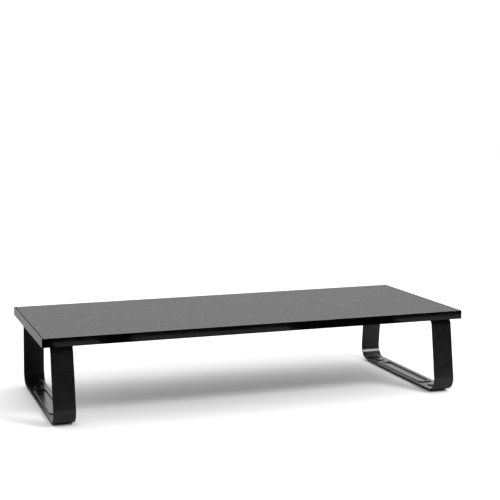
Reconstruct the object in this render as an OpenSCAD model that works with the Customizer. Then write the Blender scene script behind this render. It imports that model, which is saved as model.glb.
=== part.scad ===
// Desktop monitor riser: a laminated board on two bent steel strap legs.
// Millimetres, +Z up. The origin is on the desk, under the centre of the board.
// X runs along the board, Y from the front edge (-) to the rear edge (+).

/* [Board] */
// Length of the board
board_l = 600; // [450:10:1000]
// Depth of the board, front to back
board_d = 260; // [220:5:320]
// Thickness of the finished board
board_t = 12; // [11:1:25]
// Thickness of the laminate on each face
laminate_t = 0.4; // [0.3:0.1:1]
// Thickness of the edge bands
band_t = 1; // [0.8:0.1:2]
// Rounding along the outer edges of the bands
band_r = 0.3; // [0.2:0.1:0.7]
// Height of the top of the board above the desk
riser_h = 119; // [95:1:160]

/* [Legs] */
// Distance of each leg's centre plane from the middle of the board
leg_x = 273; // [150:1:280]
// Width of the steel strap
strap_w = 30; // [26:1:40]
// Thickness of the steel strap
strap_t = 2; // [1.5:0.5:4]
// Half the spread of the leg just under the board, outside face
leg_top_y = 119.5; // [105:0.5:125]
// Lean of the uprights away from vertical, degrees
lean = 7.8; // [0:0.1:12]
// Outside radius of the bends at the desk
foot_bend_r = 19; // [10:1:22]
// Outside radius of the bends under the board
head_bend_r = 10; // [6:1:14]
// Straight length of the flange under the board
flange_l = 46; // [40:1:55]

/* [Feet] */
// Thickness of the rubber sole under the strap
sole_t = 2.4; // [1:0.1:4]
// How far the sole is set in from each side of the strap
sole_inset = 0.7; // [0.3:0.1:2]
// Corner radius of the sole
sole_r = 5; // [2:0.5:8]
// Length of the slot in the strap that the rubber is pulled through
slot_l = 142; // [100:1:160]
// Width of that slot
slot_w = 15.4; // [12:0.2:18]
// Corner radius of that slot
slot_r = 4; // [2:0.5:6]
// How far the rubber lip spreads over the strap around the slot
lip_w = 2.6; // [1.5:0.1:4]
// Height of the rubber lip and of the stud heads above the strap
lip_h = 1.4; // [0.8:0.1:2.5]
// Distance of each stud from the middle of the leg
stud_y = 92; // [85:1:95]
// Diameter of a stud's head
stud_head_d = 12; // [9:0.5:14]
// Diameter of a stud's neck
stud_neck_d = 6; // [4:0.5:8]

/* [Fasteners] */
// Nominal thread diameter of the screws
screw_d = 5; // [4:1:6]
// Length of a screw under its head
screw_l = 11; // [9:1:12]
// Distance of the first screw from the start of the flange
screw_first = 11; // [9:1:14]
// Distance between the two screws of a flange
screw_pitch = 24; // [18:1:28]

/* [Hidden] */

$fn = 64;
eps = 0.01;
hair = 0.02;
gap = 0.05;                       // radial room between parts that slip together

// Levels
board_z = riser_h - board_t;      // underside of the board
core_t = board_t - 2 * laminate_t;
strap_top = sole_t + strap_t;     // top of the bar that lies on the desk

// Bends: the strap turns by a right angle, more or less the lean
head_cut = head_bend_r * tan((90 - lean) / 2);   // corner to start of bend
foot_cut = foot_bend_r * tan((90 + lean) / 2);
foot_corner_y = leg_top_y + (board_z - sole_t) * tan(lean);
foot_centre = [foot_corner_y - foot_cut, sole_t + foot_bend_r];
head_centre = [leg_top_y - head_cut, board_z - head_bend_r];
flange_end_y = head_centre.x - flange_l;

// Feet
sole_w = strap_w - 2 * sole_inset;
plug_w = slot_w - 2 * gap;
plug_l = slot_l - 2 * gap;
plug_r = slot_r - gap;
lip_wall = 0.8;                   // thickness of the lip inside the slot's edge
recess_depth = 0.5;               // sunken centre, below the top of the strap
stud_dome = 0.5;                  // height of the chamfer on a stud's head

// Screws, washers and threaded inserts
washer_t = 1;
washer_d = 2 * screw_d;
washer_bore_d = screw_d + 0.4;
head_d = 1.9 * screw_d;
head_h = 0.55 * screw_d;
hex_af = 0.6 * screw_d;
hex_depth = 0.3 * screw_d;
flange_hole_d = screw_d + 0.6;
insert_d = screw_d + 3;
insert_l = 8.5;
insert_hole_l = insert_l + 0.5;
insert_groove = 0.4;
screw_seat_z = board_z - strap_t - washer_t;   // underside of the washers

// A rectangle centred on the origin with rounded corners
module rounded_rect(w, l, r) {
  square([w - 2 * r, l], center = true);
  square([w, l - 2 * r], center = true);
  for (x = [-1, 1], y = [-1, 1])
    translate([x * (w / 2 - r), y * (l / 2 - r)]) circle(r);
}

// Both screw places of one flange: side is -1 left, 1 right; end is -1 front, 1 rear
module at_screws(side, end) {
  for (i = [0, 1])
    translate([side * leg_x, end * (head_centre.x - screw_first - i * screw_pitch), 0])
      children();
}

module at_all_screws() {
  for (side = [-1, 1], end = [-1, 1])
    at_screws(side, end) children();
}

// --- Board ---------------------------------------------------------------

module panel(z, t) {
  translate([band_t - board_l / 2, band_t - board_d / 2, z])
    cube([board_l - 2 * band_t, board_d - 2 * band_t, t]);
}

module insert_holes(z) {
  at_all_screws()
    translate([0, 0, z]) cylinder(h = board_z + insert_hole_l - z, d = insert_d + 2 * gap);
}

module board_core() {
  color("peru") difference() {
    panel(board_z + laminate_t, core_t);
    insert_holes(board_z - eps);
  }
}

module top_laminate() {
  color("dimgray") panel(riser_h - laminate_t, laminate_t);
}

module bottom_laminate() {
  color("dimgray") difference() {
    panel(board_z, laminate_t);
    insert_holes(board_z - eps);
  }
}

// Cross-section of an edge band: flat at x = 0, its outer edges rounded
module band_section() {
  intersection() {
    square([band_t, board_t]);
    union() {
      square([band_t - band_r, board_t]);
      translate([0, band_r]) square([band_t, board_t - 2 * band_r]);
      for (y = [band_r, board_t - band_r])
        translate([band_t - band_r, y]) circle(band_r);
    }
  }
}

// A band of length l along Y, its outer face towards +X
module edge_band(l) {
  translate([0, l / 2, board_z])
    rotate([90, 0, 0]) linear_extrude(l) band_section();
}

module front_edge_band() {
  color("black") rotate([0, 0, -90])
    translate([board_d / 2 - band_t, 0, 0]) edge_band(board_l);
}

module rear_edge_band() {
  color("black") rotate([0, 0, 90])
    translate([board_d / 2 - band_t, 0, 0]) edge_band(board_l);
}

module right_edge_band() {
  color("black") translate([board_l / 2 - band_t, 0, 0]) edge_band(board_d - 2 * band_t);
}

module left_edge_band() {
  color("black") rotate([0, 0, 180])
    translate([board_l / 2 - band_t, 0, 0]) edge_band(board_d - 2 * band_t);
}

// --- Legs ----------------------------------------------------------------
// Seen from the side, a leg is a strap bent round a trapezoid with rounded
// corners, open at the top between its two flanges.

// Where the straights meet the front (side -1) or rear (side 1) bends, from the desk up.
// The straights sit a hair inside the bends, so that the two cross cleanly.
function corner_points(side, inset) =
  let (
    upright = [side * cos(lean), sin(lean)],
    foot_r = foot_bend_r - inset - hair,
    head_r = head_bend_r - inset - hair
  )
  [
    [side * foot_centre.x, foot_centre.y - foot_r],
    [side * foot_centre.x, foot_centre.y] + foot_r * upright,
    [side * head_centre.x, head_centre.y] + head_r * upright,
    [side * head_centre.x, head_centre.y + head_r]
  ];

function reversed(points) = [for (i = [len(points) - 1:-1:0]) points[i]];

// The trapezoid's outline, moved in by inset
module rounded_trapezoid(inset) {
  polygon(concat(corner_points(1, inset), reversed(corner_points(-1, inset))));
  for (side = [-1, 1]) {
    translate([side * foot_centre.x, foot_centre.y]) circle(foot_bend_r - inset);
    translate([side * head_centre.x, head_centre.y]) circle(head_bend_r - inset);
  }
}

module bent_strap() {
  translate([-strap_w / 2, 0, 0]) rotate([90, 0, 90]) linear_extrude(strap_w)
    difference() {
      rounded_trapezoid(0);
      rounded_trapezoid(strap_t);
      translate([0, board_z]) square([2 * flange_end_y, 4 * strap_t], center = true);
    }
}

module leg() {
  color([0.09, 0.09, 0.1]) difference() {
    bent_strap();
    translate([0, 0, sole_t - eps]) linear_extrude(strap_t + 2 * eps)
      rounded_rect(slot_w, slot_l, slot_r);
    for (y = [-stud_y, stud_y])
      translate([0, y, sole_t - eps])
        cylinder(h = strap_t + 2 * eps, d = stud_neck_d + 2 * gap);
    for (end = [-1, 1])
      translate([-leg_x, 0, board_z - strap_t - eps]) at_screws(1, end)
        cylinder(h = strap_t + 2 * eps, d = flange_hole_d);
  }
}

module left_leg() { translate([-leg_x, 0, 0]) leg(); }

module right_leg() { translate([leg_x, 0, 0]) leg(); }

// --- Feet ----------------------------------------------------------------
// One rubber moulding per leg: a sole, a plug that fills the slot and spreads
// into a lip around a sunken centre, and a snap stud near each end.

module foot() {
  color([0.07, 0.07, 0.07]) union() {
    linear_extrude(sole_t) rounded_rect(sole_w, 2 * foot_centre.x, sole_r);
    difference() {
      union() {
        linear_extrude(strap_top) rounded_rect(plug_w, plug_l, plug_r);
        translate([0, 0, strap_top]) linear_extrude(lip_h)
          rounded_rect(slot_w + 2 * lip_w, slot_l + 2 * lip_w, slot_r + lip_w);
      }
      translate([0, 0, strap_top - recess_depth]) linear_extrude(lip_h + 1)
        rounded_rect(plug_w - 2 * lip_wall, plug_l - 2 * lip_wall, plug_r - lip_wall);
    }
    for (y = [-stud_y, stud_y]) translate([0, y, 0]) {
      cylinder(h = strap_top, d = stud_neck_d);
      translate([0, 0, strap_top]) cylinder(h = lip_h - stud_dome, d = stud_head_d);
      translate([0, 0, strap_top + lip_h - stud_dome])
        cylinder(h = stud_dome, d1 = stud_head_d, d2 = stud_head_d - 4 * stud_dome);
    }
  }
}

module left_foot() { translate([-leg_x, 0, 0]) foot(); }

module right_foot() { translate([leg_x, 0, 0]) foot(); }

// --- Fasteners -----------------------------------------------------------

// Threaded insert: a brass sleeve with gripping grooves round its outside
module threaded_insert() {
  groove_pitch = insert_l / 5;
  difference() {
    cylinder(h = insert_l, d = insert_d);
    translate([0, 0, -eps]) cylinder(h = insert_l + 2 * eps, d = screw_d + 2 * gap);
    for (i = [1:4]) translate([0, 0, (i - 0.25) * groove_pitch]) difference() {
      cylinder(h = groove_pitch / 2, d = insert_d + 1);
      translate([0, 0, -eps])
        cylinder(h = groove_pitch / 2 + 2 * eps, d = insert_d - 2 * insert_groove);
    }
  }
}

module washer() {
  difference() {
    cylinder(h = washer_t, d = washer_d);
    translate([0, 0, -eps]) cylinder(h = washer_t + 2 * eps, d = washer_bore_d);
  }
}

// Button-head screw, its seat at z = 0 and its shank upwards
module button_screw() {
  rim_h = 0.3 * head_h;
  crown_d = 0.62 * head_d;
  tip = 0.5;
  cylinder(h = screw_l - tip, d = screw_d);
  translate([0, 0, screw_l - tip]) cylinder(h = tip, d1 = screw_d, d2 = screw_d - 2 * tip);
  difference() {
    union() {
      translate([0, 0, -rim_h]) cylinder(h = rim_h, d = head_d);
      translate([0, 0, -head_h]) cylinder(h = head_h - rim_h, d1 = crown_d, d2 = head_d);
    }
    translate([0, 0, -head_h - eps])
      cylinder(h = hex_depth + eps, d = hex_af / cos(30), $fn = 6);
  }
}

module inserts(side, end) {
  color("goldenrod") at_screws(side, end) translate([0, 0, board_z]) threaded_insert();
}

module washers(side, end) {
  color("silver") at_screws(side, end) translate([0, 0, screw_seat_z]) washer();
}

module screws(side, end) {
  color("gray") at_screws(side, end) translate([0, 0, screw_seat_z]) button_screw();
}

board_core();
top_laminate();
bottom_laminate();
front_edge_band();
rear_edge_band();
left_edge_band();
right_edge_band();
left_leg();
right_leg();
left_foot();
right_foot();
inserts(-1, -1);  // left_front_inserts
inserts(-1, 1);  // left_rear_inserts
inserts(1, -1);  // right_front_inserts
inserts(1, 1);  // right_rear_inserts
washers(-1, -1);  // left_front_washers
washers(-1, 1);  // left_rear_washers
washers(1, -1);  // right_front_washers
washers(1, 1);  // right_rear_washers
screws(-1, -1);  // left_front_screws
screws(-1, 1);  // left_rear_screws
screws(1, -1);  // right_front_screws
screws(1, 1);  // right_rear_screws
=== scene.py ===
"""Desktop monitor riser: a black laminated board on two bent steel strap legs."""

import math

import bmesh
import bpy
from mathutils import Matrix, Vector


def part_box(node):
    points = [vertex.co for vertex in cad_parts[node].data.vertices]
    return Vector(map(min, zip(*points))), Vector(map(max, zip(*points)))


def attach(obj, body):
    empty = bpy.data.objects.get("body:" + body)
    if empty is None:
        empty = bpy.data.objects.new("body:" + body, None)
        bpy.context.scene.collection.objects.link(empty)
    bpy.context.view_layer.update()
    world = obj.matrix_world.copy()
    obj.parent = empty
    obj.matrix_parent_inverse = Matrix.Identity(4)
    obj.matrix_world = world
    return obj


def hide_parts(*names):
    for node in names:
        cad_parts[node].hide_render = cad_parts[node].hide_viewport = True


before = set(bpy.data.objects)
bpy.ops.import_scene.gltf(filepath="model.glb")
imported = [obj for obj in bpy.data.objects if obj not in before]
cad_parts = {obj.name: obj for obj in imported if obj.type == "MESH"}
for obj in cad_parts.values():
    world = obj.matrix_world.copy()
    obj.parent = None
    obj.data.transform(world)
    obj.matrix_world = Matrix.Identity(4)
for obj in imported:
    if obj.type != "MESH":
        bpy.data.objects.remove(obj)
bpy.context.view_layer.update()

MM = 0.001

TOUCH = 1e-7            # points closer than this are one
HAIR = 0.02 * MM        # keeps faces that would share a plane apart

# Board
BAND_ROUND = 0.3 * MM
BAND_SCRAPE = 0.2 * MM
TRIM_DEPTH = 0.36 * MM
TRIM_END = 1.35 * MM    # width of the trim at the ends of the top sheet
TRIM_FRONT = 0.15 * MM  # and along its front and rear

# Legs
STRAP_T = 2 * MM
STRAP_EDGE = 0.35 * MM
LEAN = math.radians(7.8)
FOOT_BEND = 19 * MM
HEAD_BEND = 10 * MM
FLANGE = 46 * MM
SLOT = (15.4 * MM, 142 * MM, 4 * MM)
STUD_Y = 92 * MM
STUD_HOLE_D = 6.1 * MM
FLANGE_HOLE_D = 5.6 * MM
BEND_CUTS = 20

# Feet
SOLE_R = 5 * MM
SOLE_EDGE = 0.5 * MM
PLUG_GAP = 0.05 * MM
LIP_W = 2.6 * MM
LIP_WALL = 0.8 * MM
LIP_EDGE = 0.55 * MM
RECESS = 0.5 * MM
RECESS_EDGE = 0.3 * MM
STUD_NECK_D = 6 * MM
STUD_HEAD_D = 12 * MM
STUD_EDGE = 0.5 * MM

# Fasteners
SCREW_D = 5 * MM
SCREW_TIP = 0.5 * MM
SCREW_HEAD_H = 2.75 * MM
HEAD_WALL = 0.25        # upright share of the head's height; the rest is dome
HEAD_CROWN = 0.42       # share of the head's width that the dome takes off
HEX_FLATS = 3 * MM
HEX_DEPTH = 1.5 * MM
WASHER_PLAY = 0.4 * MM
WASHER_EDGE = 0.15 * MM

# Studio
FLOOR_SPAN = 8
FLOOR_WHITE = 0.86
FLOOR_GLEAM = 0.29      # how bright the floor is in a reflection
WORLD_WHITE = 1.22
GLEAM_FRONT, GLEAM_BACK = (-0.7, 0.03), (0.6, 1.25)     # direction along Y, brightness
CARD_Z = 0.5 * MM
CARD_EDGE = -0.694      # where the front card ends and the smaller ones begin
NEAR_CARD_BACK = -0.56
LEFT_CARD_BACK = -0.5
CAMERA_PLACE = (-0.5425, -1.7173, 0.4306)
CAMERA_AIM = (0.02508, 0, 0.20373)
CAMERA_ROLL = math.radians(-0.451)
CAMERA_LENS = 90.45

CORNER_STEPS = 12


# --- Mesh helpers -------------------------------------------------------------

def piece(bm, name, finishes, replaced, sharp=40):
    """Turns a bmesh into a finished piece that stands for the CAD nodes in replaced."""
    bmesh.ops.remove_doubles(bm, verts=bm.verts, dist=TOUCH)
    bmesh.ops.recalc_face_normals(bm, faces=bm.faces)
    for face in bm.faces:
        face.smooth = True
    for edge in bm.edges:
        if len(edge.link_faces) == 2:
            edge.smooth = edge.calc_face_angle(0) < math.radians(sharp)
    mesh = bpy.data.meshes.new(name)
    bm.to_mesh(mesh)
    bm.free()
    made = bpy.data.objects.new(name, mesh)
    bpy.context.scene.collection.objects.link(made)
    for finish in finishes:
        made.data.materials.append(finish)
    even = made.modifiers.new("even shading", "WEIGHTED_NORMAL")
    even.keep_sharp = True
    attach(made, "root")
    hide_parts(*replaced)
    return made


def block(bm, low, high):
    """A box between two corners."""
    size = high - low
    place = Matrix.Translation((low + high) / 2) @ Matrix.Diagonal((*size, 1))
    return bmesh.ops.create_cube(bm, size=1, matrix=place)["verts"]


def round_edges(bm, edges, radius, steps):
    return bmesh.ops.bevel(
        bm, geom=list(edges), offset=radius, segments=steps, profile=0.5,
        affect="EDGES", material=-1,
    )["faces"]


def scrape(bm, edges, width):
    """Planes edges off at an angle; the cut faces take the piece's second finish."""
    for face in round_edges(bm, edges, width, 1):
        face.material_index = 1


def ring_edges(verts):
    """The edges that meet these points, each once, in the same order on every run."""
    return list(dict.fromkeys(edge for vert in verts for edge in vert.link_edges))


def rounded_ring(bm, width, length, radius, z):
    """Edges round a rectangle with rounded corners, centred on the Z axis."""
    count = 4 * CORNER_STEPS
    turn = Matrix.Translation((0, 0, z)) @ Matrix.Rotation(math.pi / count, 4, "Z")
    reach = radius / math.cos(math.pi / count)
    verts = bmesh.ops.create_circle(bm, segments=count, radius=reach, matrix=turn)["verts"]
    for vert in verts:
        vert.co.x += math.copysign(width / 2 - radius, vert.co.x)
        vert.co.y += math.copysign(length / 2 - radius, vert.co.y)
    return ring_edges(verts)


def round_ring(bm, diameter, z, centre=(0, 0), count=4 * CORNER_STEPS):
    place = Matrix.Translation((centre[0], centre[1], z))
    made = bmesh.ops.create_circle(bm, segments=count, radius=diameter / 2, matrix=place)
    return ring_edges(made["verts"])


def level(ring):
    """The height at which a flat ring of edges lies."""
    return ring[0].verts[0].co.z


def loft(bm, rings):
    """Joins each ring of edges to the next: a wall, or a flat margin where both lie level."""
    for lower, upper in zip(rings, rings[1:]):
        if abs(level(lower) - level(upper)) < TOUCH:
            bmesh.ops.triangle_fill(bm, edges=lower + upper, use_beauty=True, normal=(0, 0, 1))
        else:
            bmesh.ops.bridge_loops(bm, edges=lower + upper)


def settle(bm, spot):
    """Moves what was made since the last call to its spot."""
    fresh = [v for v in bm.verts if not v.tag]
    bmesh.ops.translate(bm, verts=fresh, vec=spot)
    for vert in fresh:
        vert.tag = True


def quarter(steps):
    """Sine and one minus cosine round a quarter circle, for rounding an edge."""
    turns = [math.pi / 2 * i / steps for i in range(steps + 1)]
    return [(math.sin(a), 1 - math.cos(a)) for a in turns]


# --- Finish helpers -----------------------------------------------------------

class Finish:
    """A node material under construction, with its patterns on Object coordinates."""

    def __init__(self, name, colour, roughness, level=0.5, metal=0.0):
        self.material = bpy.data.materials.new(name)
        self.material.use_nodes = True
        self.tree = self.material.node_tree
        self.tree.nodes.clear()
        end = self.tree.nodes.new("ShaderNodeOutputMaterial")
        self.shader = self.tree.nodes.new("ShaderNodeBsdfPrincipled")
        self.join(self.shader.outputs["BSDF"], end.inputs["Surface"])
        self.place = self.tree.nodes.new("ShaderNodeTexCoord").outputs["Object"]
        self.shader.inputs["Base Color"].default_value = (*colour, 1)
        self.shader.inputs["Roughness"].default_value = roughness
        self.shader.inputs["Specular IOR Level"].default_value = level
        self.shader.inputs["Metallic"].default_value = metal

    def join(self, start, end):
        self.tree.links.new(start, end)

    def grain(self, size, detail=2.0, stretch=(1, 1, 1), sharpness=0.5):
        """Noise whose grains are about size metres across, drawn out along an axis by stretch."""
        node = self.tree.nodes.new("ShaderNodeTexNoise")
        node.inputs["Scale"].default_value = 1 / size
        node.inputs["Detail"].default_value = detail
        node.inputs["Roughness"].default_value = sharpness
        turned = self.tree.nodes.new("ShaderNodeMapping")
        turned.inputs["Scale"].default_value = stretch
        self.join(self.place, turned.inputs["Vector"])
        self.join(turned.outputs["Vector"], node.inputs["Vector"])
        return node.outputs["Fac"]

    def cells(self, size):
        node = self.tree.nodes.new("ShaderNodeTexVoronoi")
        node.inputs["Scale"].default_value = 1 / size
        self.join(self.place, node.inputs["Vector"])
        return node.outputs["Distance"]

    def spread(self, value, low, high, start=0.3, stop=0.7):
        """Maps a pattern to the range from low to high."""
        node = self.tree.nodes.new("ShaderNodeMapRange")
        node.inputs["From Min"].default_value = start
        node.inputs["From Max"].default_value = stop
        node.inputs["To Min"].default_value = low
        node.inputs["To Max"].default_value = high
        self.join(value, node.inputs["Value"])
        return node.outputs["Result"]

    def combine(self, operation, first, second):
        """Two patterns, or a pattern and a number, added or multiplied together."""
        node = self.tree.nodes.new("ShaderNodeMath")
        node.operation = operation
        for value, socket in ((first, node.inputs[0]), (second, node.inputs[1])):
            if isinstance(value, (int, float)):
                socket.default_value = value
            else:
                self.join(value, socket)
        return node.outputs["Value"]

    def blend(self, amount, first, second):
        """Colour that runs from first to second as amount goes from 0 to 1."""
        node = self.tree.nodes.new("ShaderNodeValToRGB")
        node.color_ramp.elements[0].color = (*first, 1)
        node.color_ramp.elements[1].color = (*second, 1)
        self.join(amount, node.inputs["Fac"])
        return node.outputs["Color"]

    def colour(self, value):
        self.join(value, self.shader.inputs["Base Color"])

    def roughness(self, value):
        self.join(value, self.shader.inputs["Roughness"])

    def relief(self, height, depth):
        """Bump whose full height is depth metres."""
        node = self.tree.nodes.new("ShaderNodeBump")
        node.inputs["Strength"].default_value = 1
        node.inputs["Distance"].default_value = depth
        self.join(height, node.inputs["Height"])
        self.join(node.outputs["Normal"], self.shader.inputs["Normal"])


def textured_melamine():
    """Black melamine with a fine pearl texture: small soft pits over a faint mottle."""
    made = Finish("textured melamine", (0.014, 0.014, 0.0145), 0.42, level=0.4)
    pearl = made.grain(1.1 * MM, detail=3, sharpness=0.65)
    mottle = made.grain(6 * MM, detail=5, sharpness=0.7)
    both = made.combine("ADD", pearl, mottle)
    made.colour(made.blend(
        made.spread(both, 0, 1, 0.6, 1.4), (0.008, 0.008, 0.0084), (0.022, 0.022, 0.0226),
    ))
    made.roughness(made.spread(both, 0.32, 0.54, 0.7, 1.3))
    made.relief(pearl, 0.012 * MM)
    return made.material


def painted_joint_shade():
    """Painted shade for the joints: a near-black, matt finish without gloss on the faces where
    laminate and band have been scraped.
    """
    made = Finish("painted joint shade", (0.004, 0.0038, 0.0036), 0.9, level=0)
    fibre = made.grain(0.3 * MM, detail=3)
    made.colour(made.blend(
        made.spread(fibre, 0, 1), (0.002, 0.002, 0.002), (0.006, 0.0056, 0.005),
    ))
    made.roughness(made.spread(fibre, 0.8, 1.0))
    made.relief(fibre, 0.01 * MM)
    return made.material


def glossy_banding():
    """Black plastic edge band: glossy, with faint draw lines along it."""
    made = Finish("glossy banding", (0.0005, 0.0005, 0.0005), 0.05, level=0.45)
    lines = made.grain(0.5 * MM, detail=2, stretch=(0.02, 0.02, 1))
    scuffs = made.grain(9 * MM, detail=5, sharpness=0.7)
    made.colour(made.blend(
        made.spread(scuffs, 0, 1, 0.45, 0.8), (0.0003, 0.0003, 0.0003), (0.0008, 0.0008, 0.0008),
    ))
    made.roughness(made.spread(made.combine("MULTIPLY", lines, scuffs), 0.02, 0.09, 0.12, 0.4))
    made.relief(lines, 0.001 * MM)
    return made.material


def powder_coat():
    """Black satin powder coat with a fine orange-peel skin."""
    made = Finish("powder coat", (0.0019, 0.0019, 0.002), 0.29, level=0.65)
    peel = made.grain(1.4 * MM, detail=1.5)
    speck = made.grain(0.35 * MM, detail=2)
    mottle = made.grain(16 * MM, detail=4, sharpness=0.6)
    made.colour(made.blend(
        made.spread(mottle, 0, 1), (0.0012, 0.0012, 0.0013), (0.0026, 0.0026, 0.0027),
    ))
    made.roughness(made.spread(made.combine("MULTIPLY", mottle, speck), 0.26, 0.32, 0.15, 0.4))
    made.relief(made.combine("ADD", peel, made.combine("MULTIPLY", speck, 0.3)), 0.009 * MM)
    return made.material


def moulded_rubber():
    """Black rubber with a soft matt skin."""
    made = Finish("moulded rubber", (0.0025, 0.0025, 0.0025), 0.24, level=0.72)
    skin = made.grain(0.5 * MM, detail=3, sharpness=0.6)
    dust = made.grain(12 * MM, detail=5, sharpness=0.7)
    made.colour(made.blend(
        made.spread(dust, 0, 1, 0.4, 0.75), (0.0012, 0.0012, 0.0012), (0.004, 0.004, 0.0039),
    ))
    made.roughness(made.spread(made.combine("MULTIPLY", skin, dust), 0.16, 0.28, 0.15, 0.4))
    made.relief(skin, 0.01 * MM)
    return made.material


def zinc_plate():
    """Bright zinc plating, faintly brushed and slightly uneven."""
    made = Finish("zinc plate", (0.55, 0.56, 0.58), 0.3, metal=1.0)
    tarnish = made.grain(2.5 * MM, detail=4, sharpness=0.65)
    scratch = made.grain(0.25 * MM, detail=2)
    made.colour(made.blend(made.spread(tarnish, 0, 1), (0.46, 0.47, 0.49), (0.66, 0.67, 0.68)))
    made.roughness(made.spread(made.combine("MULTIPLY", tarnish, scratch), 0.2, 0.42, 0.15, 0.4))
    made.relief(scratch, 0.004 * MM)
    return made.material


def turned_brass():
    """Machined brass, with fine turning marks along its height."""
    made = Finish("turned brass", (0.65, 0.46, 0.18), 0.28, metal=1.0)
    turning = made.grain(0.2 * MM, detail=2, stretch=(0.05, 0.05, 1))
    tarnish = made.grain(3 * MM, detail=4)
    made.colour(made.blend(made.spread(tarnish, 0, 1), (0.52, 0.36, 0.14), (0.72, 0.52, 0.22)))
    made.roughness(made.spread(turning, 0.2, 0.4))
    made.relief(turning, 0.01 * MM)
    return made.material


def pressed_chipboard():
    """Raw particleboard: tan flakes of several shades."""
    made = Finish("pressed chipboard", (0.45, 0.3, 0.16), 0.85)
    flakes = made.cells(2.2 * MM)
    dust = made.grain(0.7 * MM, detail=4)
    made.colour(made.blend(
        made.combine("MULTIPLY", flakes, dust), (0.28, 0.17, 0.08), (0.62, 0.44, 0.26),
    ))
    made.roughness(made.spread(dust, 0.75, 0.95))
    made.relief(made.combine("ADD", flakes, dust), 0.15 * MM)
    return made.material


# --- Board --------------------------------------------------------------------

def top_sheet(finish, joint_shade):
    """The top laminate, trimmed along its rim; at its ends the trim takes painted shade, a
    near-black finish without gloss that darkens the joints with the bands.
    """
    low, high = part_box("top_laminate")
    bm = bmesh.new()
    verts = block(bm, low, high)
    upper = [v for v in verts if v.co.z > (low.z + high.z) / 2]
    top = [f for f in bm.faces if set(f.verts) <= set(upper)]
    rim = bmesh.ops.inset_region(bm, faces=top, thickness=TRIM_END, use_even_offset=True)["faces"]
    inner = set(top[0].verts)
    for vert in inner:
        vert.co.y = math.copysign(high.y - TRIM_FRONT, vert.co.y)
    # The end trims take the painted joint shade: near black and without gloss, it darkens the
    # joints with the side bands.
    for face in rim:
        if abs(face.calc_center_median().x) > high.x / 2:
            face.material_index = 1
    outer = {vert for face in rim for vert in face.verts} - inner
    bmesh.ops.translate(bm, verts=list(outer), vec=(0, 0, -TRIM_DEPTH))
    return piece(bm, "top_sheet", [finish, joint_shade], ["top_laminate"])


def band(side, outward, finish, joint_shade):
    """An edge band: its long outer edges rounded, its long inner edges eased."""
    node = side + "_edge_band"
    low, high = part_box(node)
    bm = bmesh.new()
    block(bm, low, high)
    centre = (low + high) / 2
    axis = max(range(3), key=lambda i: abs(outward[i]))
    half = (high[axis] - low[axis]) / 2

    def at_outside(edge, sign):
        return all(
            (v.co[axis] - centre[axis]) * outward[axis] * sign > 0.9 * half for v in edge.verts
        )

    def along_band(edge):
        return abs((edge.verts[0].co - edge.verts[1].co).z) < half / 10

    outer = [e for e in bm.edges if at_outside(e, 1) and along_band(e)]
    inner = [e for e in bm.edges if at_outside(e, -1) and along_band(e)]
    # The planed inner edges take the painted joint shade: near black and without gloss, it
    # darkens the joints with the top.
    scrape(bm, inner, BAND_SCRAPE)
    round_edges(bm, [e for e in outer if e.is_valid], BAND_ROUND, 4)
    return piece(bm, side + "_band", [finish, joint_shade], [node])


# --- Legs ---------------------------------------------------------------------

def screw_places(side, end):
    """Centres of the two screws of one flange, from the box of their washers."""
    low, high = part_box(f"{side}_{end}_washers")
    radius = (high.x - low.x) / 2
    return [Vector((low.x + radius, y, low.z)) for y in (low.y + radius, high.y - radius)]


class Bends:
    """The side outline of a leg, worked out from its box, its lean and its bend radii."""

    def __init__(self, node):
        low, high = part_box(node)
        self.x = (low.x + high.x) / 2
        self.width = high.x - low.x
        self.base_z = low.z
        self.top_z = high.z
        self.foot_y = high.y - FOOT_BEND
        self.foot_z = low.z + FOOT_BEND
        self.head_z = high.z - HEAD_BEND
        rise = self.head_z - self.foot_z
        shift = (FOOT_BEND - HEAD_BEND - math.sin(LEAN) * rise) / math.cos(LEAN)
        self.head_y = self.foot_y + shift
        upright = -math.sin(LEAN) * shift + math.cos(LEAN) * rise
        self.lower = math.pi / 2 + LEAN
        self.marks = [self.foot_y]
        for step in (FOOT_BEND * self.lower, upright, HEAD_BEND * (math.pi - self.lower), FLANGE):
            self.marks.append(self.marks[-1] + step)

    def flange_mark(self, y):
        """How far along the flat blank a place on the flange is."""
        return self.marks[3] + self.head_y - y

    def folded(self, along, depth):
        """Where a point of the flat blank lies once it is bent, as y and z."""
        side = math.copysign(1, along)
        s = abs(along)
        if s <= self.marks[0]:
            return side * s, self.base_z + depth
        if s <= self.marks[1]:
            turn = (s - self.marks[0]) / FOOT_BEND
            reach = FOOT_BEND - depth
            y, z = self.foot_y + reach * math.sin(turn), self.foot_z - reach * math.cos(turn)
        elif s <= self.marks[2]:
            reach, run = FOOT_BEND - depth, s - self.marks[1]
            y = self.foot_y + reach * math.cos(LEAN) - run * math.sin(LEAN)
            z = self.foot_z + reach * math.sin(LEAN) + run * math.cos(LEAN)
        elif s <= self.marks[3]:
            turn = self.lower + (s - self.marks[2]) / HEAD_BEND
            reach = HEAD_BEND - depth
            y, z = self.head_y + reach * math.sin(turn), self.head_z - reach * math.cos(turn)
        else:
            y, z = self.head_y - (s - self.marks[3]), self.top_z - depth
        return side * y, z


def punch(bm, face, holes):
    """Opens holes, given as rings of edges, in one flat face."""
    rim = list(face.edges)
    bmesh.ops.delete(bm, geom=[face], context="FACES_ONLY")
    edges = rim + [edge for hole in holes for edge in hole]
    bmesh.ops.triangle_fill(bm, edges=edges, use_beauty=True, normal=(0, 0, 1))


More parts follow.
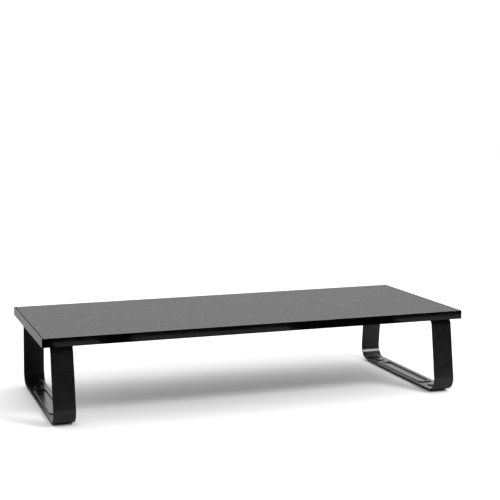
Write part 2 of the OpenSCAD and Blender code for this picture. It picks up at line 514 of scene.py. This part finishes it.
def strap_leg(side, finish):
    """A flat blank, punched, thickened, its edges rounded, then bent to shape."""
    node = side + "_leg"
    bends = Bends(node)
    reach = bends.marks[-1]
    bm = bmesh.new()
    shape = Matrix.Diagonal((bends.width / 2, reach, 1, 1))
    bmesh.ops.create_grid(bm, x_segments=1, y_segments=1, size=1, matrix=shape)
    cuts = [0.5 * (bends.marks[1] + bends.marks[2])]
    for start, stop in ((0, 1), (2, 3)):
        span = bends.marks[stop] - bends.marks[start]
        cuts += [bends.marks[start] + span * i / BEND_CUTS for i in range(BEND_CUTS + 1)]
    for cut in cuts:
        for way in (-1, 1):
            bmesh.ops.bisect_plane(
                bm, geom=bm.verts[:] + bm.edges[:] + bm.faces[:], dist=1e-8,
                plane_co=(0, way * cut, 0), plane_no=(0, 1, 0),
            )
    base = [f for f in bm.faces if abs(f.calc_center_median().y) < bends.marks[0] / 2]
    slot = rounded_ring(bm, *SLOT, 0)
    studs = [round_ring(bm, STUD_HOLE_D, 0, (0, way * STUD_Y)) for way in (-1, 1)]
    punch(bm, base[0], [slot] + studs)
    for way, end in ((-1, "front"), (1, "rear")):
        places = [bends.flange_mark(abs(spot.y)) for spot in screw_places(side, end)]
        flange = [
            f for f in bm.faces
            if way * f.calc_center_median().y > bends.marks[3] and len(f.verts) == 4
        ]
        holes = [round_ring(bm, FLANGE_HOLE_D, 0, (0, way * s)) for s in places]
        punch(bm, flange[0], holes)
    grown = bmesh.ops.extrude_face_region(bm, geom=bm.faces[:])["geom"]
    lifted = [g for g in grown if isinstance(g, bmesh.types.BMVert)]
    bmesh.ops.translate(bm, verts=lifted, vec=(0, 0, STRAP_T))
    bmesh.ops.recalc_face_normals(bm, faces=bm.faces)
    rims = [
        e for e in bm.edges
        if len(e.link_faces) == 2 and e.calc_face_angle(0) > 1
        and abs(e.verts[0].co.z - e.verts[1].co.z) < STRAP_T / 2
    ]
    round_edges(bm, rims, STRAP_EDGE, 3)
    for vert in bm.verts:
        y, z = bends.folded(vert.co.y, vert.co.z)
        vert.co = (bends.x + vert.co.x, y, z)
    return piece(bm, side + "_strap", [finish], [node], sharp=50)


# --- Feet ---------------------------------------------------------------------

def foot_strip(side, finish):
    """One rubber moulding: sole, plug with its lip and sunken centre, and two snap studs."""
    node = side + "_foot"
    low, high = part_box(node)
    sole_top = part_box(side + "_leg")[0].z
    seat = sole_top + STRAP_T
    width, length = high.x - low.x, high.y - low.y
    slot_w, slot_l, slot_r = SLOT
    plug = (slot_w - 2 * PLUG_GAP, slot_l - 2 * PLUG_GAP, slot_r - PLUG_GAP)
    lip = (slot_w + 2 * LIP_W, slot_l + 2 * LIP_W, slot_r + LIP_W)
    bowl = (plug[0] - 2 * LIP_WALL, plug[1] - 2 * LIP_WALL, plug[2] - LIP_WALL)
    bm = bmesh.new()

    def grown(shape, by, z):
        return rounded_ring(bm, shape[0] + 2 * by, shape[1] + 2 * by, shape[2] + by, z)

    sole = (width, length, SOLE_R)
    under = [grown(sole, s * SOLE_EDGE - SOLE_EDGE, c * SOLE_EDGE) for s, c in quarter(4)]
    sole_rim = grown(sole, 0, sole_top)
    loft(bm, under + [sole_rim])
    bmesh.ops.edgeloop_fill(bm, edges=under[0])

    neck = [grown(plug, 0, sole_top), grown(plug, 0, seat), grown(lip, 0, seat + HAIR)]
    outside = [
        grown(lip, -c * LIP_EDGE, high.z - LIP_EDGE + s * LIP_EDGE) for s, c in quarter(4)
    ]
    inside = [
        grown(bowl, (1 - s) * LIP_EDGE, high.z - c * LIP_EDGE) for s, c in quarter(4)
    ]
    centre = [
        grown(bowl, 0, seat - RECESS + RECESS_EDGE), grown(bowl, -RECESS_EDGE, seat - RECESS),
    ]
    loft(bm, neck + outside + inside + centre)
    bmesh.ops.edgeloop_fill(bm, edges=centre[-1])

    stud_rims = []
    for way in (-1, 1):
        spot = (0, way * STUD_Y)
        stem = [round_ring(bm, STUD_NECK_D, z, spot) for z in (sole_top, seat)]
        head = [round_ring(bm, STUD_HEAD_D, seat + HAIR, spot)]
        for s, c in quarter(5):
            head.append(round_ring(
                bm, STUD_HEAD_D - 2 * c * 2 * STUD_EDGE, high.z - STUD_EDGE * (1 - s), spot,
            ))
        loft(bm, stem + head)
        bmesh.ops.edgeloop_fill(bm, edges=head[-1])
        stud_rims += stem[0]
    bmesh.ops.triangle_fill(
        bm, edges=sole_rim + neck[0] + stud_rims, use_beauty=True, normal=(0, 0, 1),
    )
    bmesh.ops.translate(bm, verts=bm.verts, vec=((low.x + high.x) / 2, 0, low.z))
    return piece(bm, side + "_rubber_foot", [finish], [node], sharp=50)


# --- Fasteners ----------------------------------------------------------------

def button_screws(side, end, finish):
    """Domed screws with a hex socket, seen from below."""
    node = f"{side}_{end}_screws"
    low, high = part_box(node)
    bm = bmesh.new()
    for spot in screw_places(side, end):
        head_d = high.x - low.x
        rise = high.z - spot.z
        rings = [
            round_ring(bm, SCREW_D - 2 * SCREW_TIP, rise),
            round_ring(bm, SCREW_D, rise - SCREW_TIP),
            round_ring(bm, SCREW_D, 0), round_ring(bm, head_d, 0),
        ]
        for s, c in quarter(7):
            drop = HEAD_WALL + (1 - HEAD_WALL) * s
            rings.append(round_ring(bm, head_d * (1 - HEAD_CROWN * c), -drop * SCREW_HEAD_H))
        loft(bm, rings)
        bmesh.ops.edgeloop_fill(bm, edges=rings[0])
        key = HEX_FLATS / math.cos(math.radians(30))
        mouth = round_ring(bm, key, -SCREW_HEAD_H, count=6)
        depth = round_ring(bm, key, HEX_DEPTH - SCREW_HEAD_H, count=6)
        loft(bm, [mouth, depth])
        bmesh.ops.edgeloop_fill(bm, edges=depth)
        bmesh.ops.triangle_fill(
            bm, edges=rings[-1] + mouth, use_beauty=True, normal=(0, 0, -1),
        )
        settle(bm, spot)
    return piece(bm, f"{side}_{end}_button_screws", [finish], [node])


def flat_washers(side, end, finish):
    """The washers of one flange, their outer edges eased."""
    node = f"{side}_{end}_washers"
    low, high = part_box(node)
    bm = bmesh.new()
    for spot in screw_places(side, end):
        outer, bore, thick = high.x - low.x, SCREW_D + WASHER_PLAY, high.z - low.z
        e = WASHER_EDGE
        rings = [
            round_ring(bm, bore, 0), round_ring(bm, outer - 2 * e, 0), round_ring(bm, outer, e),
            round_ring(bm, outer, thick - e), round_ring(bm, outer - 2 * e, thick),
            round_ring(bm, bore, thick),
        ]
        loft(bm, rings + [rings[0]])
        settle(bm, spot)
    return piece(bm, f"{side}_{end}_flat_washers", [finish], [node])


# --- Studio -------------------------------------------------------------------

def painted(name, colour, roughness):
    """Plain paint for the stage."""
    made = bpy.data.materials.new(name)
    made.use_nodes = True
    shader = made.node_tree.nodes["Principled BSDF"]
    shader.inputs["Base Color"].default_value = (*colour, 1)
    shader.inputs["Roughness"].default_value = roughness
    shader.inputs["Specular IOR Level"].default_value = 0.2
    return made


def pale_floor():
    """A matt white floor that shows dimmer in gloss than it does to the eye."""
    made = painted("pale floor", [FLOOR_WHITE] * 3, 0.8)
    tree = made.node_tree
    path = tree.nodes.new("ShaderNodeLightPath")
    dim = tree.nodes.new("ShaderNodeMapRange")
    dim.inputs["To Min"].default_value = FLOOR_WHITE
    dim.inputs["To Max"].default_value = FLOOR_GLEAM
    tree.links.new(path.outputs["Is Glossy Ray"], dim.inputs["Value"])
    tree.links.new(dim.outputs["Result"], tree.nodes["Principled BSDF"].inputs["Base Color"])
    return made


def sheet_on_floor(name, low, high, z, material):
    """A flat rectangle between two corners, part of the stage."""
    bm = bmesh.new()
    middle = ((low[0] + high[0]) / 2, (low[1] + high[1]) / 2, z)
    half = ((high[0] - low[0]) / 2, (high[1] - low[1]) / 2)
    place = Matrix.Translation(middle) @ Matrix.Diagonal((*half, 1, 1))
    bmesh.ops.create_grid(bm, x_segments=1, y_segments=1, size=1, matrix=place)
    mesh = bpy.data.meshes.new(name)
    bm.to_mesh(mesh)
    bm.free()
    made = bpy.data.objects.new(name, mesh)
    made.data.materials.append(material)
    bpy.context.scene.collection.objects.link(made)
    return made


def soft_box(name, place, aim, size, power):
    """A rectangular lamp that lights the riser without showing itself."""
    data = bpy.data.lights.new(name, "AREA")
    data.shape = "RECTANGLE"
    data.size, data.size_y = size
    data.energy = power
    made = bpy.data.objects.new(name, data)
    made.location = place
    made.rotation_euler = (Vector(aim) - Vector(place)).to_track_quat("-Z", "Y").to_euler()
    made.visible_camera = False
    bpy.context.scene.collection.objects.link(made)
    return made


def studio_world():
    """Even white light; what gleams on the riser is bright behind it and dark in front."""
    world = bpy.data.worlds.new("studio")
    bpy.context.scene.world = world
    world.use_nodes = True
    tree = world.node_tree
    tree.nodes.clear()
    join = tree.links.new
    end = tree.nodes.new("ShaderNodeOutputWorld")
    even = tree.nodes.new("ShaderNodeBackground")
    even.inputs["Color"].default_value = (1, 1, 1, 1)
    even.inputs["Strength"].default_value = WORLD_WHITE
    gleam = tree.nodes.new("ShaderNodeBackground")
    where = tree.nodes.new("ShaderNodeTexCoord")
    parts = tree.nodes.new("ShaderNodeSeparateXYZ")
    fall = tree.nodes.new("ShaderNodeMapRange")
    fall.interpolation_type = "SMOOTHSTEP"
    for end_name, (along, bright) in (("Min", GLEAM_FRONT), ("Max", GLEAM_BACK)):
        fall.inputs["From " + end_name].default_value = along
        fall.inputs["To " + end_name].default_value = bright
    path = tree.nodes.new("ShaderNodeLightPath")
    pick = tree.nodes.new("ShaderNodeMixShader")
    join(where.outputs["Generated"], parts.inputs["Vector"])
    join(parts.outputs["Y"], fall.inputs["Value"])
    join(fall.outputs["Result"], gleam.inputs["Strength"])
    join(path.outputs["Is Glossy Ray"], pick.inputs["Fac"])
    join(even.outputs["Background"], pick.inputs[1])
    join(gleam.outputs["Background"], pick.inputs[2])
    join(pick.outputs["Shader"], end.inputs["Surface"])


def dark_card(name, low, high):
    """A black card on the floor that only shows as a reflection in glossy faces."""
    card = sheet_on_floor(name, low, high, CARD_Z, painted(name, (0, 0, 0), 1))
    card.visible_camera = False
    card.visible_diffuse = False
    card.visible_shadow = False


def studio():
    studio_world()
    sheet_on_floor("floor", (-FLOOR_SPAN, -FLOOR_SPAN), (FLOOR_SPAN, FLOOR_SPAN), 0, pale_floor())
    dark_card("front card", (-4, -6), (4, CARD_EDGE))
    dark_card("near right card", (0.238, CARD_EDGE), (0.453, NEAR_CARD_BACK))
    dark_card("near left card", (-0.1165, CARD_EDGE), (-0.0574, NEAR_CARD_BACK))
    dark_card("left card", (-4, CARD_EDGE), (-0.197, LEFT_CARD_BACK))
    soft_box("overhead light", (0.0, 0.9, 1.8), (0, 0, 0), (2.2, 2.2), 11)
    soft_box("right front light", (0.88, -1.24, 1.34), (0.2, 0, 0.05), (0.5, 0.4), 22)


def camera():
    """A long lens, looking slightly down on the front edge from the left."""
    place, aim = Vector(CAMERA_PLACE), Vector(CAMERA_AIM)
    data = bpy.data.cameras.new("camera")
    data.lens = CAMERA_LENS
    data.sensor_width = 36
    made = bpy.data.objects.new("camera", data)
    made.matrix_world = (
        Matrix.Translation(place)
        @ (aim - place).to_track_quat("-Z", "Y").to_matrix().to_4x4()
        @ Matrix.Rotation(CAMERA_ROLL, 4, "Z")
    )
    bpy.context.scene.collection.objects.link(made)
    bpy.context.scene.camera = made


# --- The riser ----------------------------------------------------------------

def build():
    melamine, banding, coat = textured_melamine(), glossy_banding(), powder_coat()
    rubber, zinc, brass = moulded_rubber(), zinc_plate(), turned_brass()
    joint_shade = painted_joint_shade()
    top_sheet(melamine, joint_shade)
    for side, outward in (
        ("front", (0, -1, 0)), ("rear", (0, 1, 0)), ("left", (-1, 0, 0)), ("right", (1, 0, 0)),
    ):
        band(side, outward, banding, joint_shade)
    carried = {"board_core": pressed_chipboard(), "bottom_laminate": melamine}
    for side in ("left", "right"):
        strap_leg(side, coat)
        foot_strip(side, rubber)
        for end in ("front", "rear"):
            button_screws(side, end, zinc)
            flat_washers(side, end, zinc)
            carried[f"{side}_{end}_inserts"] = brass
    for node, finish in carried.items():
        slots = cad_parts[node].data.materials
        slots.clear()
        slots.append(finish)


build()
studio()
camera()
bpy.context.scene.view_settings.view_transform = "Standard"
